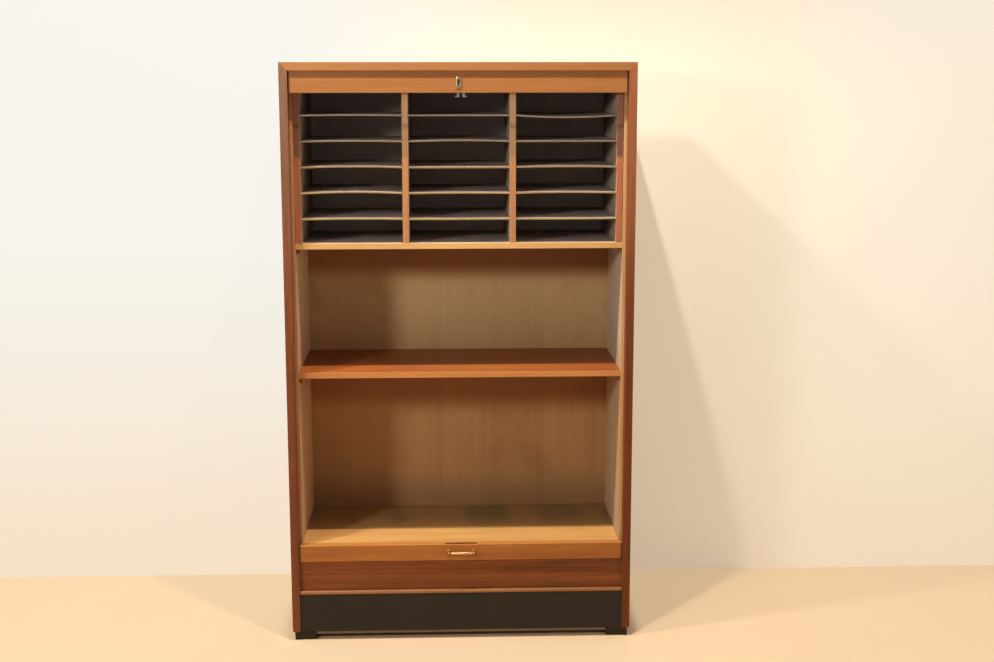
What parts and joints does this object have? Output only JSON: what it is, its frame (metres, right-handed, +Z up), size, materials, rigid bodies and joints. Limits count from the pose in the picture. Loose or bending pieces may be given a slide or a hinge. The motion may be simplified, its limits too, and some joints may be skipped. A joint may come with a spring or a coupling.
{
  "type": "roll-front filing cabinet",
  "caption": "Tall wooden filing cabinet with letter pigeonholes over two shelf bays, a slatted roll-down front, a pull bar, a keyed jaw lock and a black plinth on block feet.",
  "frame": {"origin": "on the floor, in the middle of the overall box", "axes": "+Z up, +X to the right as seen from the front, -Y out of the open front"},
  "size_m": [1.0454, 0.4794, 1.7638],
  "materials": {
    "teak": "oiled teak veneer, satin",
    "slat_teak": "darkened teak slats, satin",
    "shelf_board": "veneered board with a paler lipping, satin",
    "pale_lipping": "pale hardwood, satin",
    "plywood": "aged plywood, matt",
    "pigeonhole_wood": "reddish hardwood, inside painted dark, matt",
    "letter_board": "thin hardboard with a pale worn edge, matt",
    "beech": "plain hardwood, matt",
    "black_paint": "worn matt black paint",
    "canvas": "plain woven canvas",
    "brass": "aged polished brass",
    "nickel": "worn nickel plate",
    "steel": "plain steel",
    "dark_steel": "darkened steel"
  },
  "bodies": {
    "case": {"back_screws": "steel", "base_shelf": "shelf_board", "bottom_rails": "beech", "divider_left": "pigeonhole_wood", "divider_right": "pigeonhole_wood", "dust_panel": "plywood", "escutcheon": "nickel", "feed_slat": "slat_teak", "feet": "black_paint", "floor_bearers": "beech", "foot_screws": "steel", "inner_back": "plywood", "inner_floor": "shelf_board", "inner_side_left": "plywood", "inner_side_right": "plywood", "letter_shelf_left_1": "letter_board", "letter_shelf_left_2": "letter_board", "letter_shelf_left_3": "letter_board", "letter_shelf_left_4": "letter_board", "letter_shelf_left_5": "letter_board", "letter_shelf_middle_1": "letter_board", "letter_shelf_middle_2": "letter_board", "letter_shelf_middle_3": "letter_board", "letter_shelf_middle_4": "letter_board", "letter_shelf_middle_5": "letter_board", "letter_shelf_right_1": "letter_board", "letter_shelf_right_2": "letter_board", "letter_shelf_right_3": "letter_board", "letter_shelf_right_4": "letter_board", "letter_shelf_right_5": "letter_board", "lock_case": "steel", "lock_cover": "steel", "lock_rail": "teak", "lock_screws": "steel", "middle_shelf": "shelf_board", "outer_back": "plywood", "pigeonhole_back": "plywood", "pigeonhole_side_left": "pigeonhole_wood", "pigeonhole_side_right": "pigeonhole_wood", "pigeonhole_top": "pigeonhole_wood", "plinth_board": "black_paint", "plinth_lipping": "pale_lipping", "shelf_pegs": "beech", "shutter_stops": "beech", "side_panel_left": "teak", "side_panel_right": "teak", "stored_canvas": "canvas", "stored_slats": "slat_teak", "top_panel": "teak"},
    "shutter": {"lead_rail": "teak", "strike_plate": "dark_steel", "strike_screws": "steel", "handle_bar": "brass", "handle_posts": "brass", "handle_screws": "steel", "front_slats": "slat_teak", "front_canvas": "canvas"},
    "tumbler": {"lock_tumbler": "steel"},
    "left_jaw": {"jaw_left": "steel"},
    "right_jaw": {"jaw_right": "steel"}
  },
  "joints": [
    {"name": "shutter_slide", "type": "slide", "parent": "case", "child": "shutter", "axis": [0, 0, 1], "range_m": [0, 1.3715], "deforming": ["feed_slat"]},
    {"name": "key_turn", "type": "hinge", "parent": "case", "child": "tumbler", "pos_m": [0, -0.20175, 1.7045], "axis": [0, 1, 0], "range_deg": [0, 90]},
    {"name": "left_jaw_swing", "type": "hinge", "parent": "case", "child": "left_jaw", "pos_m": [-0.007, -0.20175, 1.6915], "axis": [0, 1, 0], "range_deg": [0, 14]},
    {"name": "right_jaw_swing", "type": "hinge", "parent": "case", "child": "right_jaw", "pos_m": [0.007, -0.20175, 1.6915], "axis": [0, -1, 0], "range_deg": [0, 14]}
  ],
  "couplings": [
    {"joint": "left_jaw_swing", "follows": "key_turn", "ratio": 0.15556},
    {"joint": "right_jaw_swing", "follows": "key_turn", "ratio": 0.15556}
  ]
}
